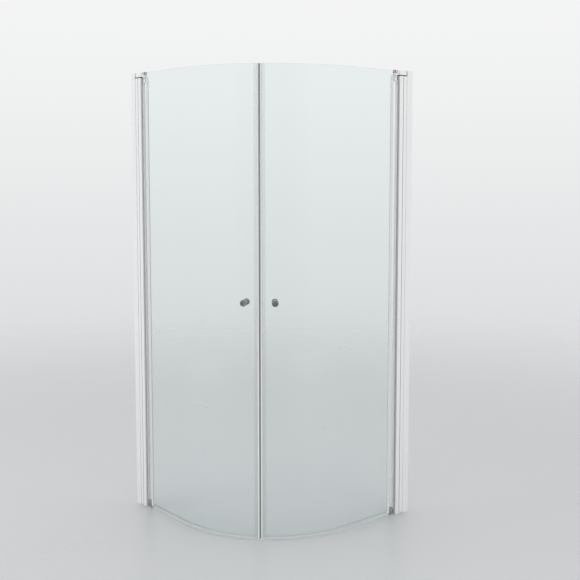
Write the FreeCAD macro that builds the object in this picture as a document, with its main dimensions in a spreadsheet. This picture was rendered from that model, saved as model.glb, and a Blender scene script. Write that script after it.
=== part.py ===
import FreeCAD, Part
import math
import os

import Sketcher

# A quadrant shower enclosure in the corner of two walls: two curved glass doors, each on its own
# wall profile, that meet in the middle and swing both inwards and outwards.
#
# Frame: millimetres, +Z up, origin on the floor in the middle of the footprint. The left wall is
# the plane at the lowest X and the back wall the plane at the highest Y, so the curved front bulges
# towards +X and -Y. Every piece of the left half is drawn, and the right half is its mirror image
# in the upright plane x = -y, through the corner and the meeting line of the doors.
#
# The drawing measures from the room: "reach" is the distance from the left wall, and "rise" the
# distance outwards from the middle of the glass, towards the bather's side when it is negative.

SIZES = [
    # the enclosure as a whole
    ("height", 2000, "wall channel, from the floor to its top"),
    ("glass_line", 880, "back wall to the middle of the glass at the left wall"),
    ("bend_radius", 500, "bend of the glass, at the middle of its thickness"),
    ("glass_thickness", 6, "toughened glass"),
    ("glass_foot", 14, "floor to the bottom edge of the glass"),
    ("glass_drop", 2, "top of the glass below the top of the channel"),
    # the channel on the wall
    ("channel_width", 32, "across the flanges"),
    ("channel_depth", 34, "from the wall"),
    ("channel_wall", 2, "thickness of the aluminium"),
    ("channel_flute", 0.5, "depth of the fine grooves along the flanges"),
    ("flute_first", 13, "wall to the first fine groove"),
    ("flute_pitch", 12, "between the fine grooves"),
    ("cap_thickness", 3, "plastic cap in the top of the channel"),
    ("hole_diameter", 5.5, "holes for the wall screws"),
    ("hole_margin", 100, "outer wall screws, from the floor and from the top"),
    # the post that slides in the channel and carries the door
    ("slide_gap", 0.4, "between the post and the channel, each side"),
    ("post_back", 14, "wall to the back of the post"),
    ("post_front", 78, "wall to the front of the post"),
    ("post_wall", 1.8, "thickness of the aluminium"),
    ("post_face", 5, "thickness of the front wall, which holds the seal"),
    ("post_cell", 36, "wall to the closed cell of the post"),
    ("groove_reach", 55, "wall to the shadow groove along the post"),
    ("groove_width", 2.6, "shadow groove"),
    ("groove_depth", 1.1, "shadow groove"),
    ("port_back", 10, "back of the closed cell to the first screw port"),
    ("port_front", 12, "second screw port to the front of the post"),
    ("port_radius", 3.6, "outside of a screw port"),
    ("seal_slot", 3, "width and depth of the slot for the post seal"),
    ("seal_width", 15, "post seal, across"),
    ("seal_gap", 0.6, "between the post seal and the turning stile"),
    # the screws
    ("clamp_reach", 24, "wall to the clamp screws"),
    ("clamp_margin", 250, "outer clamp screws, from the floor and from the top"),
    ("clamp_radius", 1.7, "shank of a clamp screw"),
    ("clamp_length", 8, "shank of a clamp screw"),
    ("clamp_head", 3.8, "radius of a clamp screw's head"),
    ("clamp_crown", 2.7, "radius of the flat top of that head"),
    ("clamp_head_height", 2.2, "clamp screw's head"),
    ("port_screw", 1.9, "shank radius of the screws in the ports"),
    ("port_screw_length", 24, "screws in the ports, below the head"),
    ("port_screw_head", 3.6, "head radius of the screws in the ports"),
    ("port_head_height", 2.4, "head of the screws in the ports"),
    ("socket_radius", 1.5, "drive socket of every screw"),
    ("socket_depth", 1.4, "drive socket of every screw"),
    ("screw_play", 0.1, "between a screw and its hole"),
    # the two pivots
    ("barrel_gap", 6.5, "between the front of the post and the barrel of the stile"),
    ("foot_thickness", 6, "foot bracket on the floor"),
    ("bracket_back", 36, "wall to the back of the brackets"),
    ("bracket_height", 18, "top bracket"),
    ("spacer_height", 4.5, "dark spacer between the post and the top bracket"),
    ("spacer_inset", 0.6, "edge of the spacer inside the edge of the post"),
    ("bridge_width", 17, "neck between a bracket and its eye"),
    ("eye_radius", 11, "eye of the top and foot brackets"),
    ("cap_wall", 1.2, "bright cap over the top eye"),
    ("cap_gap", 0.2, "between that cap and the eye"),
    ("cap_skirt", 14, "height of that cap"),
    ("pin_radius", 4, "both pivot pins"),
    ("pin_chamfer", 0.6, "ends of the pins"),
    ("pin_play", 0.05, "running fit of a pin in its bush"),
    ("pin_length", 24, "pivot pin below or above its bracket"),
    ("bush_gap", 0.4, "between a bush's flange and its bracket"),
    ("bush_length", 22, "bush inside the stile"),
    ("bush_wall_gap", 0.05, "between a bush and the stile"),
    ("foot_flange", 9.6, "thickness of the foot bush's flange"),
    ("top_flange", 4, "thickness of the top bush's flange"),
    ("flange_radius", 11, "flange of both bushes"),
    # the stile that turns with the glass
    ("barrel_radius", 11.5, "outside of the stile's barrel"),
    ("barrel_bore", 7.5, "radius of the barrel's bore"),
    ("slot_web", 5.5, "stile between its bore and its glass slot"),
    ("nose_width", 15, "stile, across the glass slot"),
    ("nose_chamfer", 1.5, "edge of the stile's lip"),
    ("gasket_wall", 1.4, "glazing gasket on each face of the glass"),
    ("gasket_lip", 2.5, "gasket past the lip of the stile"),
    ("glass_grip", 11.5, "glass inside the stile"),
    ("inner_setback", 4, "lips on the inside of the door, short of those on the outside"),
    ("seat_gap", 0.1, "between pieces that are pushed together"),
    # the strips where the doors meet, measured along the glass from the meeting line
    ("meeting_gap", 0.4, "half of the gap between the doors"),
    ("magnet_depth", 3.3, "magnet strip along the glass"),
    ("magnet_bevel", 1.9, "length of its two bevels, which let a door swing inwards past the other"),
    ("magnet_width", 6, "magnet strip across the glass"),
    ("magnet_tip", 0.6, "flat between its bevels"),
    ("holder_depth", 6, "bright magnet holder along the glass"),
    ("holder_width", 11, "magnet holder across the glass"),
    ("carrier_web", 1.3, "seal carrier in front of the glass edge"),
    ("carrier_end", 24, "meeting line to the end of the carrier's legs"),
    ("carrier_wall", 1.2, "thickness of the carrier's legs"),
    ("strip_gap", 0.3, "between the top of the fin and the strips"),
    # the sweep under the glass
    ("sweep_wall", 1.2, "thickness of the sweep"),
    ("sweep_leg", 11, "height of its legs on the glass"),
    ("sweep_gap", 0.5, "between its legs and the gasket or the carrier"),
    ("sweep_fin", 1.4, "thickness of the fin"),
    ("sweep_clear", 1.5, "floor to the fin"),
    ("drip_clear", 5, "floor to the drip lip"),
    ("sweep_setback", 1.5, "hinge edge of the glass to the start of the sweep"),
    # the knobs
    ("knob_height", 1020, "floor to the knobs"),
    ("knob_setback", 63, "meeting line to the knobs, along the glass"),
    ("knob_radius", 14, "head of a knob"),
    ("knob_neck", 7, "neck of a knob"),
    ("knob_base", 9, "base of a knob"),
    ("knob_base_height", 2.5, "base of a knob"),
    ("knob_taper", 1, "taper from the base to the neck"),
    ("knob_flare", 13, "washer to the underside of the head"),
    ("knob_throat", 3, "taper from the neck to the head"),
    ("knob_length", 28, "washer to the face of the knob"),
    ("knob_edge", 2.5, "rounded edge of the head"),
    ("knob_dish", 0.8, "hollow of the face"),
    ("washer_thickness", 1, "soft washer between the knob and the glass"),
    ("washer_gap", 0.1, "between the washer and the bent glass"),
    ("glass_hole", 6, "radius of the hole in the glass"),
    ("sleeve_gap", 0.4, "between the washers' sleeves and that hole"),
    ("sleeve_split", 0.3, "middle of the glass to the end of each sleeve"),
    ("stud_radius", 3, "threaded stud between the knobs"),
    ("stud_depth", 14, "stud inside a knob"),
    ("stud_chamfer", 0.5, "ends of the stud"),
    ("grub_radius", 2, "grub screw that locks the inner knob"),
    ("grub_socket", 0.9, "drive socket of the grub screw"),
    ("grub_offset", 7, "washer to the grub screw"),
    ("grub_inset", 0.6, "grub screw below the face of the neck and short of the stud"),
]

CORNER = "((Sizes.glass_line + Sizes.channel_width / 2) / 2)"
BEND = "Sizes.bend_radius"
PIVOT = "(Sizes.post_front + Sizes.barrel_gap + Sizes.barrel_radius)"
GLASS_START = f"({PIVOT} + Sizes.barrel_bore + Sizes.slot_web + Sizes.seat_gap + Sizes.gasket_wall)"
NOSE_REACH = f"({GLASS_START} + Sizes.glass_grip)"
HOLE_COUNT = 4
HOLE_PITCH = f"((Sizes.height - 2 * Sizes.hole_margin) / {HOLE_COUNT - 1})"
CLAMP_COUNT = 3
CLAMP_PITCH = f"((Sizes.height - 2 * Sizes.clamp_margin) / {CLAMP_COUNT - 1})"
PORT_FIRST = "(Sizes.post_cell + Sizes.port_back)"
PORT_PITCH = f"(Sizes.post_front - Sizes.port_front - {PORT_FIRST})"
POST_HALF = "(Sizes.channel_width / 2 - Sizes.channel_wall - Sizes.slide_gap)"
GLASS_HALF = "(Sizes.glass_thickness / 2)"
GLASS_TOP = "(Sizes.height - Sizes.glass_drop)"
STRAIGHT_END = "(Sizes.glass_line - Sizes.bend_radius)"
BRACKET_LOW = "(Sizes.height - Sizes.glass_drop - Sizes.bracket_height)"
BRACKET_TOP = "(Sizes.height - Sizes.glass_drop)"
POST_TOP = f"({BRACKET_LOW} - Sizes.spacer_height)"
STILE_LOW = "(Sizes.foot_thickness + Sizes.bush_gap + Sizes.foot_flange)"
STILE_TOP = f"({BRACKET_LOW} - Sizes.bush_gap - Sizes.top_flange)"
HOLDER_START = "(Sizes.meeting_gap + Sizes.magnet_depth)"
CARRIER_START = f"({HOLDER_START} + Sizes.holder_depth)"
GLASS_END = f"({CARRIER_START} + Sizes.carrier_web + Sizes.seat_gap)"
LEG_INSIDE = f"({GLASS_HALF} + Sizes.seat_gap)"
CARRIER_HALF = f"({LEG_INSIDE} + Sizes.carrier_wall)"
SWEEP_HALF = f"({LEG_INSIDE} + Sizes.sweep_wall)"
SWEEP_BASE = "(Sizes.glass_foot - Sizes.seat_gap)"
SWEEP_LOW = f"({SWEEP_BASE} - Sizes.sweep_wall)"
SWEEP_START = f"({GLASS_START} + Sizes.sweep_setback)"
STRIP_FOOT = f"({SWEEP_LOW} + Sizes.strip_gap)"
WASHER_FACE = f"({GLASS_HALF} + Sizes.washer_gap)"
KNOB_FOOT = f"({WASHER_FACE} + Sizes.washer_thickness)"

document = FreeCAD.newDocument("shower_enclosure")
sheet = document.addObject("Spreadsheet::Sheet", "Sizes")
for row, (alias, size, meaning) in enumerate(SIZES, start=1):
    sheet.set(f"A{row}", alias)
    sheet.set(f"B{row}", str(size))
    sheet.setAlias(f"B{row}", alias)
    sheet.set(f"C{row}", meaning)
document.recompute()


def value(expression):
    """The number that an expression gives now."""
    return float(sheet.evalExpression(expression))


# --- places -----------------------------------------------------------------------------------

def at(reach, rise):
    """X and Y of a point given by its distance from the left wall and from the glass line."""
    return f"({reach} - {CORNER})", f"({CORNER} - Sizes.glass_line - ({rise}))"


def along(rise, distance):
    """X and Y of a point on the bend, a distance along the glass from the meeting line."""
    angle = f"(-45 - ({distance}) / {BEND} * 180 / pi)"
    centre_x, centre_y = at(STRAIGHT_END, f"(-{BEND})")
    radius = f"({BEND} + ({rise}))"
    return f"({centre_x} + {radius} * cos({angle}))", f"({centre_y} + {radius} * sin({angle}))"


def both_sides(half):
    """A closed outline from one half of it, given as reach and rise, front end first."""
    other = [(reach, f"(-({rise}))") for reach, rise in reversed(half)]
    return [at(reach, rise) for reach, rise in half + other]


def block(reach_low, reach_high, rise_low, rise_high):
    """The four corners of a rectangle in plan."""
    return [at(reach_low, rise_low), at(reach_low, rise_high),
            at(reach_high, rise_high), at(reach_high, rise_low)]


# --- sketches and features --------------------------------------------------------------------

def origin_feature(body, role):
    return next(item for item in body.Origin.OriginFeatures if item.Role == role)


def new_body(name):
    body = document.addObject("PartDesign::Body", name)
    body.Label = name
    return body


def new_sketch(body, role, level="0"):
    """A sketch on one of the body's own planes, moved along its normal to a level."""
    sketch = body.newObject("Sketcher::SketchObject", f"{body.Name}_sketch")
    sketch.AttachmentSupport = [(origin_feature(body, role), "")]
    sketch.MapMode = "FlatFace"
    sketch.setExpression("AttachmentOffset.Base.z", level)
    return sketch


def bind(sketch, kind, *where, expression):
    """A constraint whose value follows an expression."""
    number = sketch.addConstraint(Sketcher.Constraint(kind, *where, value(expression)))
    sketch.setExpression(f"Constraints[{number}]", expression)


def arc_between(start, end, radius, side):
    """The arc of less than half a turn between two points; side 1 has its centre on the left."""
    chord = end - start
    across = FreeCAD.Vector(-chord.y, chord.x, 0).normalize()
    depth = math.sqrt(max(radius ** 2 - (chord.Length / 2) ** 2, 0))
    centre = (start + end) * 0.5 + across * depth * side
    first, last = (start, end) if side > 0 else (end, start)
    circle = Part.Circle(centre, FreeCAD.Vector(0, 0, 1), radius)
    low = math.atan2(first.y - centre.y, first.x - centre.x)
    high = math.atan2(last.y - centre.y, last.x - centre.x)
    return Part.ArcOfCircle(circle, low, high)


def draw_outline(sketch, corners, bends=None):
    """A closed outline through corners, each a pair of expressions. bends gives, for an edge's
    number, the radius and the side of the arc that takes the place of the straight edge."""
    bends = bends or {}
    places = [FreeCAD.Vector(value(x), value(y), 0) for x, y in corners]
    first = sketch.GeometryCount
    ends = []
    for number, start in enumerate(places):
        end = places[(number + 1) % len(places)]
        if number in bends:
            radius, side = bends[number]
            sketch.addGeometry(arc_between(start, end, value(radius), side), False)
            ends.append((1, 2) if side > 0 else (2, 1))
        else:
            sketch.addGeometry(Part.LineSegment(start, end), False)
            ends.append((1, 2))
    for number, (x, y) in enumerate(corners):
        edge = first + number
        before = (number - 1) % len(corners)
        sketch.addConstraint(Sketcher.Constraint("Coincident", first + before, ends[before][1],
                                                 edge, ends[number][0]))
        bind(sketch, "DistanceX", -1, 1, edge, ends[number][0], expression=x)
        bind(sketch, "DistanceY", -1, 1, edge, ends[number][0], expression=y)
    for number, (radius, side) in bends.items():
        bind(sketch, "Radius", first + number, expression=radius)


def draw_circle(sketch, x, y, radius):
    middle = FreeCAD.Vector(value(x), value(y), 0)
    circle = Part.Circle(middle, FreeCAD.Vector(0, 0, 1), value(radius))
    edge = sketch.addGeometry(circle, False)
    bind(sketch, "DistanceX", -1, 1, edge, 3, expression=x)
    bind(sketch, "DistanceY", -1, 1, edge, 3, expression=y)
    bind(sketch, "Radius", edge, expression=radius)


def add_bar(body, low, high, corners=None, bends=None, circles=()):
    """Add an upright bar between two levels: an outline, or the circles alone."""
    sketch = new_sketch(body, "XY_Plane", low)
    if corners:
        draw_outline(sketch, corners, bends)
    for x, y, radius in circles:
        draw_circle(sketch, x, y, radius)
    pad = body.newObject("PartDesign::Pad", f"{body.Name}_pad")
    pad.Profile = sketch
    pad.setExpression("Length", f"({high}) - ({low})")
    document.recompute()


def cut_bar(body, low, high, corners=None, bends=None, circles=()):
    """Cut an upright bar out of a body, downwards from its upper level."""
    before = body.Shape.Volume
    sketch = new_sketch(body, "XY_Plane", high)
    if corners:
        draw_outline(sketch, corners, bends)
    for x, y, radius in circles:
        draw_circle(sketch, x, y, radius)
    pocket = body.newObject("PartDesign::Pocket", f"{body.Name}_pocket")
    pocket.Profile = sketch
    pocket.setExpression("Length", f"({high}) - ({low})")
    document.recompute()
    if body.Shape.Volume >= before:
        raise RuntimeError(f"{body.Label}: a cut takes nothing away")


def bar(name, low, high, corners=None, bends=None, circles=()):
    body = new_body(name)
    add_bar(body, low, high, corners, bends, circles)
    return body


def band(rise_low, rise_high, start, end):
    """The outline of a strip that follows the glass: straight from the reach where it starts,
    then round the bend, up to a distance from the meeting line."""
    corners = [at(start, rise_high), at(STRAIGHT_END, rise_high), along(rise_high, end),
               along(rise_low, end), at(STRAIGHT_END, rise_low), at(start, rise_low)]
    bends = {1: (f"{BEND} + ({rise_high})", 1), 3: (f"{BEND} + ({rise_low})", -1)}
    return {"corners": corners, "bends": bends}


def bend_piece(rise_low, rise_high, start, end):
    """The outline of a piece on the bend alone, between two distances from the meeting line."""
    corners = [along(rise_high, end), along(rise_high, start),
               along(rise_low, start), along(rise_low, end)]
    bends = {0: (f"{BEND} + ({rise_high})", 1), 2: (f"{BEND} + ({rise_low})", -1)}
    return {"corners": corners, "bends": bends}


def turned(name, profile, bends=None):
    """A body turned about its own X axis. profile is a closed outline, given as x and radius."""
    body = new_body(name)
    sketch = new_sketch(body, "XY_Plane")
    draw_outline(sketch, profile, bends)
    turn = body.newObject("PartDesign::Revolution", f"{name}_turn")
    turn.Profile = sketch
    turn.ReferenceAxis = (origin_feature(body, "X_Axis"), [""])
    turn.Angle = 360
    document.recompute()
    return body


def repeat(body, role, pitch, count):
    """Copies of all that the body has so far, in a row along one of its own axes."""
    row = body.newObject("PartDesign::LinearPattern", f"{body.Name}_row")
    row.Originals = [body.Tip]
    row.Direction = (origin_feature(body, role), [""])
    row.Mode = "Spacing"
    row.setExpression("Offset", pitch)
    row.Occurrences = count
    body.Tip = row
    document.recompute()


def place(item, x, y, z, axis=(0, 0, 1), angle="0"):
    """Put a piece at a point, turned about one of the main axes."""
    turn = FreeCAD.Rotation(FreeCAD.Vector(*axis), value(angle))
    item.Placement = FreeCAD.Placement(FreeCAD.Vector(), turn)
    if value(angle):
        item.setExpression("Placement.Rotation.Angle", angle)
    for name, where in zip("xyz", (x, y, z)):
        item.setExpression(f"Placement.Base.{name}", where)
    return item


def rod(name, radius, length, x, y, z, axis=(0, 0, 1), angle="0"):
    """A plain cylinder from a point, along Z unless it is turned."""
    cylinder = document.addObject("Part::Cylinder", name)
    cylinder.setExpression("Radius", radius)
    cylinder.setExpression("Height", length)
    return place(cylinder, x, y, z, axis, angle)


def cut(name, base, tools):
    """The base less all the tools."""
    tool = tools[0]
    if len(tools) > 1:
        tool = document.addObject("Part::Compound", f"{name}_tools")
        tool.Links = tools
    result = document.addObject("Part::Cut", name)
    result.Base = base
    result.Tool = tool
    result.Label = name
    document.recompute()
    if result.Shape.Volume >= base.Shape.Volume:
        raise RuntimeError(f"{name}: a cut takes nothing away")
    return result


def fuse(name, pieces):
    result = document.addObject("Part::MultiFuse", name)
    result.Shapes = pieces
    result.Label = name
    document.recompute()
    return result


ACROSS = {"axis": (1, 0, 0), "angle": "90"}       # a rod from its point towards -Y
FROM_WALL = {"axis": (0, 1, 0), "angle": "90"}    # a rod from its point towards +X
DOWN = {"axis": (0, 1, 0), "angle": "90"}         # a turned piece's X axis pointing down
UP = {"axis": (0, 1, 0), "angle": "-90"}          # a turned piece's X axis pointing up


# --- the wall channel, its cap and its screws ---------------------------------------------------

def flank(rise, reaches, width, depth):
    """Points along one side of a profile, dipping into a V groove at each reach."""
    points = []
    for reach in reaches:
        points += [(f"({reach}) - ({width}) / 2", rise),
                   (reach, f"({rise}) - ({depth})"),
                   (f"({reach}) + ({width}) / 2", rise)]
    return points


def wall_channel():
    """An aluminium U on the wall, open to the room, with holes for the wall screws in its web."""
    half = "(Sizes.channel_width / 2)"
    inside = f"({half} - Sizes.channel_wall)"
    flutes = ["Sizes.flute_first", "Sizes.flute_first + Sizes.flute_pitch"]
    side = [("0", half)] + flank(half, flutes, "Sizes.channel_flute * 2", "Sizes.channel_flute")
    side += [("Sizes.channel_depth", half), ("Sizes.channel_depth", inside),
             ("Sizes.channel_wall", inside)]
    blank = bar("wall_channel_blank", "0", "Sizes.height", both_sides(side))
    x, y = at("-1", "0")
    holes = []
    for number in range(HOLE_COUNT):
        level = f"Sizes.hole_margin + {number} * {HOLE_PITCH}"
        holes.append(rod(f"wall_hole_{number}", "Sizes.hole_diameter / 2",
                         "Sizes.channel_wall + 2", x, y, level, **FROM_WALL))
    x, y = at("Sizes.clamp_reach", f"-{half} - 1")
    for number in range(CLAMP_COUNT):
        level = f"Sizes.clamp_margin + {number} * {CLAMP_PITCH}"
        holes.append(rod(f"flange_hole_{number}", "Sizes.clamp_radius + Sizes.screw_play",
                         "Sizes.channel_wall + 2", x, y, level, **ACROSS))
    return cut("left_wall_channel", blank, holes)


def channel_cap():
    """A plastic cap pressed into the open top of the channel."""
    half = "(Sizes.channel_width / 2 - Sizes.channel_wall - Sizes.seat_gap)"
    outline = block("Sizes.channel_wall + Sizes.seat_gap", "Sizes.bracket_back - Sizes.seat_gap",
                    f"-{half}", half)
    return bar("left_channel_cap", "Sizes.height - Sizes.cap_thickness", "Sizes.height", outline)


def clamp_screws():
    """Three screws, from inside the shower, that lock the post in the channel."""
    head = "Sizes.clamp_head_height"
    body = turned("left_clamp_screws", [
        (f"-{head} + Sizes.socket_depth", "0"), (f"-{head} + Sizes.socket_depth", "Sizes.socket_radius"),
        (f"-{head}", "Sizes.socket_radius"), (f"-{head}", "Sizes.clamp_crown"),
        (f"-{head} / 2", "Sizes.clamp_head"), ("0", "Sizes.clamp_head"),
        ("0", "Sizes.clamp_radius"), ("Sizes.clamp_length", "Sizes.clamp_radius"),
        ("Sizes.clamp_length", "0")])
    repeat(body, "Z_Axis", CLAMP_PITCH, CLAMP_COUNT)
    x, y = at("Sizes.clamp_reach", "-Sizes.channel_width / 2")
    return place(body, x, y, "Sizes.clamp_margin", angle="-90")


# --- the hinge post and its seal ----------------------------------------------------------------

def port_places():
    return [at(f"{PORT_FIRST} + {number} * {PORT_PITCH}", "0") for number in range(2)]


def hinge_post():
    """The extrusion that slides in the channel, with a closed cell, two screw ports, a shadow
    groove along each side and a slot for the seal in its front."""
    half = POST_HALF
    inner = f"({half} - Sizes.post_wall)"
    front = "Sizes.post_front"
    slot = "(Sizes.seal_slot / 2)"
    side = [("Sizes.post_cell - Sizes.post_wall", inner), ("Sizes.post_back", inner),
            ("Sizes.post_back", half)]
    side += flank(half, ["Sizes.groove_reach"], "Sizes.groove_width", "Sizes.groove_depth")
    side += [(front, half), (front, slot), (f"{front} - Sizes.seal_slot", slot)]
    body = bar("hinge_post_blank", "Sizes.foot_thickness", POST_TOP, both_sides(side))
    cell = block("Sizes.post_cell", f"{front} - Sizes.post_face", f"-{inner}", inner)
    cut_bar(body, "Sizes.foot_thickness", POST_TOP, cell)
    for number, (x, y) in enumerate(port_places()):
        reach = f"({PORT_FIRST} + {number} * {PORT_PITCH})"
        web = "(Sizes.post_wall / 2)"
        rib = block(f"{reach} - {web}", f"{reach} + {web}", f"-{inner} - {web}", f"{inner} + {web}")
        add_bar(body, "Sizes.foot_thickness", POST_TOP, rib)
        add_bar(body, "Sizes.foot_thickness", POST_TOP, circles=[(x, y, "Sizes.port_radius")])
    bores = [(x, y, "Sizes.port_screw + Sizes.screw_play") for x, y in port_places()]
    cut_bar(body, "Sizes.foot_thickness", POST_TOP, circles=bores)
    x, y = at("Sizes.clamp_reach", f"-{half} - 1")
    holes = []
    for number in range(CLAMP_COUNT):
        level = f"Sizes.clamp_margin + {number} * {CLAMP_PITCH}"
        holes.append(rod(f"post_hole_{number}", "Sizes.clamp_radius + Sizes.screw_play",
                         "Sizes.post_wall + 2", x, y, level, **ACROSS))
    return cut("left_hinge_post", body, holes)


def post_seal():
    """A rubber strip in the front of the post, hollowed round the turning stile."""
    half = "(Sizes.seal_width / 2)"
    tongue = "(Sizes.seal_slot / 2 - Sizes.seat_gap)"
    hollow = "(Sizes.barrel_radius + Sizes.seal_gap)"
    tip = f"({PIVOT} - sqrt({hollow} ^ 2 - {half} ^ 2))"
    front = "Sizes.post_front"
    side = [(tip, half), (front, half), (front, tongue),
            (f"{front} - Sizes.seal_slot + Sizes.seat_gap", tongue)]
    return bar("left_post_seal", "Sizes.foot_thickness", POST_TOP, both_sides(side),
               {len(side) * 2 - 1: (hollow, 1)})


# --- the brackets, pins and bushes of the two pivots ----------------------------------------------

def bracket_plan():
    """A bracket's plate and neck in plan, without its eye."""
    neck = "(Sizes.bridge_width / 2)"
    return both_sides([(PIVOT, neck), ("Sizes.post_front", neck), ("Sizes.post_front", POST_HALF),
                       ("Sizes.bracket_back", POST_HALF)])


def with_eye(name, low, high):
    """A bracket: its plate, its neck and the round eye over the pivot axis."""
    x, y = at(PIVOT, "0")
    body = bar(name, low, high, bracket_plan())
    add_bar(body, low, high, circles=[(x, y, "Sizes.eye_radius")])
    cut_bar(body, low, high, circles=[(x, y, "Sizes.pin_radius + Sizes.seat_gap")])
    screws = [(x, y, "Sizes.port_screw + Sizes.screw_play") for x, y in port_places()]
    cut_bar(body, low, high, circles=screws)
    return body


def head_seats():
    return [(x, y, "Sizes.port_screw_head + Sizes.screw_play") for x, y in port_places()]


def top_bracket():
    """The bracket over the post that holds the upper pivot pin."""
    body = with_eye("left_top_bracket", BRACKET_LOW, BRACKET_TOP)
    cut_bar(body, f"{BRACKET_TOP} - Sizes.port_head_height", BRACKET_TOP, circles=head_seats())
    return body


def top_spacer():
    """The dark plate between the post and the top bracket, the slot of shadow under the cap."""
    edge = "Sizes.spacer_inset"
    half = f"({POST_HALF} - {edge})"
    body = bar("left_top_spacer", POST_TOP, BRACKET_LOW,
               block(f"Sizes.bracket_back + {edge}", f"Sizes.post_front - {edge}", f"-{half}", half))
    screws = [(x, y, "Sizes.port_screw + Sizes.screw_play") for x, y in port_places()]
    cut_bar(body, POST_TOP, BRACKET_LOW, circles=screws)
    return body


def foot_bracket():
    """The plate on the floor, under the post and the door, that holds the lower pivot pin."""
    body = with_eye("left_foot_bracket", "0", "Sizes.foot_thickness")
    seats = head_seats()
    cut_bar(body, "0", "Sizes.port_head_height", circles=seats)
    return body


def pivot_cap():
    """A bright cap over the eye of the top bracket, with a notch for the bracket's neck."""
    x, y = at(PIVOT, "0")
    inside = "(Sizes.eye_radius + Sizes.cap_gap)"
    outside = f"({inside} + Sizes.cap_wall)"
    low = "(Sizes.height - Sizes.cap_skirt)"
    roof = f"({BRACKET_TOP} + Sizes.cap_gap)"
    body = bar("left_pivot_cap", low, "Sizes.height", circles=[(x, y, outside)])
    cut_bar(body, low, roof, circles=[(x, y, inside)])
    neck = "(Sizes.bridge_width / 2 + Sizes.cap_gap)"
    notch = block(f"{PIVOT} - {outside} - 1", PIVOT, f"-{neck}", neck)
    cut_bar(body, low, roof, notch)
    return body


def pin(name, low, high):
    """A steel pivot pin with chamfered ends."""
    radius, edge = "Sizes.pin_radius", "Sizes.pin_chamfer"
    length = f"({high} - {low})"
    body = turned(name, [("0", "0"), ("0", f"{radius} - {edge}"), (edge, radius),
                         (f"{length} - {edge}", radius), (length, f"{radius} - {edge}"),
                         (length, "0")])
    x, y = at(PIVOT, "0")
    return place(body, x, y, low, **UP)


def bush(name, spigot_end, flange_start, flange_end):
    """A dark plastic bush: a spigot in the stile's bore and a flange against the bracket."""
    x, y = at(PIVOT, "0")
    levels = (flange_start, flange_end)
    body = bar(name, *levels, circles=[(x, y, "Sizes.flange_radius")])
    spigot = "(Sizes.barrel_bore - Sizes.bush_wall_gap)"
    above = value(spigot_end) > value(flange_end)
    inner = (flange_end, spigot_end) if above else (spigot_end, flange_start)
    add_bar(body, *inner, circles=[(x, y, spigot)])
    whole = (flange_start, spigot_end) if above else (spigot_end, flange_end)
    cut_bar(body, *whole, circles=[(x, y, "Sizes.pin_radius + Sizes.pin_play")])
    return body


def port_screws(name, seat, way):
    """Two screws that hold a bracket on the post, through to its ports."""
    head = "Sizes.port_head_height"
    body = turned(name, [
        (f"-{head} + Sizes.socket_depth", "0"), (f"-{head} + Sizes.socket_depth", "Sizes.socket_radius"),
        (f"-{head}", "Sizes.socket_radius"), (f"-{head}", "Sizes.port_screw_head"),
        ("0", "Sizes.port_screw_head"), ("0", "Sizes.port_screw"),
        ("Sizes.port_screw_length", "Sizes.port_screw"), ("Sizes.port_screw_length", "0")])
    repeat(body, "Z_Axis", PORT_PITCH, 2)
    number = 0 if way is DOWN else 1
    x, y = port_places()[number]
    return place(body, x, y, seat, **way)


# --- the stile and what holds the glass -----------------------------------------------------------

def hinge_stile():
    """The clear turning profile: a barrel round the pivot axis and a nose with the glass slot.
    Its lip on the inside is shorter, so that it does not show through the glass."""
    x, y = at(PIVOT, "0")
    half = "(Sizes.nose_width / 2)"
    edge = "Sizes.nose_chamfer"
    body = bar("left_hinge_stile", STILE_LOW, STILE_TOP, circles=[(x, y, "Sizes.barrel_radius")])
    inner = f"({NOSE_REACH} - Sizes.inner_setback)"
    nose = [at(NOSE_REACH, "0"), at(NOSE_REACH, f"{half} - {edge}"),
            at(f"{NOSE_REACH} - {edge}", half), at(PIVOT, half), at(PIVOT, f"-{half}"),
            at(f"{inner} - {edge}", f"-{half}"), at(inner, f"{edge} - {half}"), at(inner, "0")]
    add_bar(body, STILE_LOW, STILE_TOP, nose)
    slot = f"({GLASS_HALF} + Sizes.seat_gap + Sizes.gasket_wall)"
    floor = f"({GLASS_START} - Sizes.gasket_wall - Sizes.seat_gap)"
    cut_bar(body, STILE_LOW, STILE_TOP, block(floor, f"{NOSE_REACH} + 1", f"-{slot}", slot))
    cut_bar(body, STILE_LOW, STILE_TOP, circles=[(x, y, "Sizes.barrel_bore")])
    return body


def glazing_gasket():
    """A pale gasket round the hinge edge of the glass, with lips that show past the stile."""
    outer = f"({LEG_INSIDE} + Sizes.gasket_wall - Sizes.seat_gap)"
    start = f"({GLASS_START} - Sizes.gasket_wall)"
    seat = f"({GLASS_START} - Sizes.seat_gap)"
    end = f"({NOSE_REACH} + Sizes.gasket_lip)"
    inner_end = f"({end} - Sizes.inner_setback)"
    outline = [at(seat, LEG_INSIDE), at(end, LEG_INSIDE), at(end, outer), at(start, outer),
               at(start, f"-{outer}"), at(inner_end, f"-{outer}"),
               at(inner_end, f"-{LEG_INSIDE}"), at(seat, f"-{LEG_INSIDE}")]
    return bar("left_glazing_gasket", STILE_LOW, STILE_TOP, outline)


def glass():
    """The bent pane, straight from the stile and then round to the meeting line, with a hole."""
    pane = bar("pane", "Sizes.glass_foot", GLASS_TOP,
               **band(f"-{GLASS_HALF}", GLASS_HALF, GLASS_START, GLASS_END))
    drill = turned("glass_drill", [("-Sizes.glass_thickness", "0"),
                                   ("-Sizes.glass_thickness", "Sizes.glass_hole"),
                                   ("Sizes.glass_thickness", "Sizes.glass_hole"),
                                   ("Sizes.glass_thickness", "0")])
    return cut("left_glass", pane, [on_glass(drill)])


# --- the strips at the meeting line and the sweep -------------------------------------------------

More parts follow.
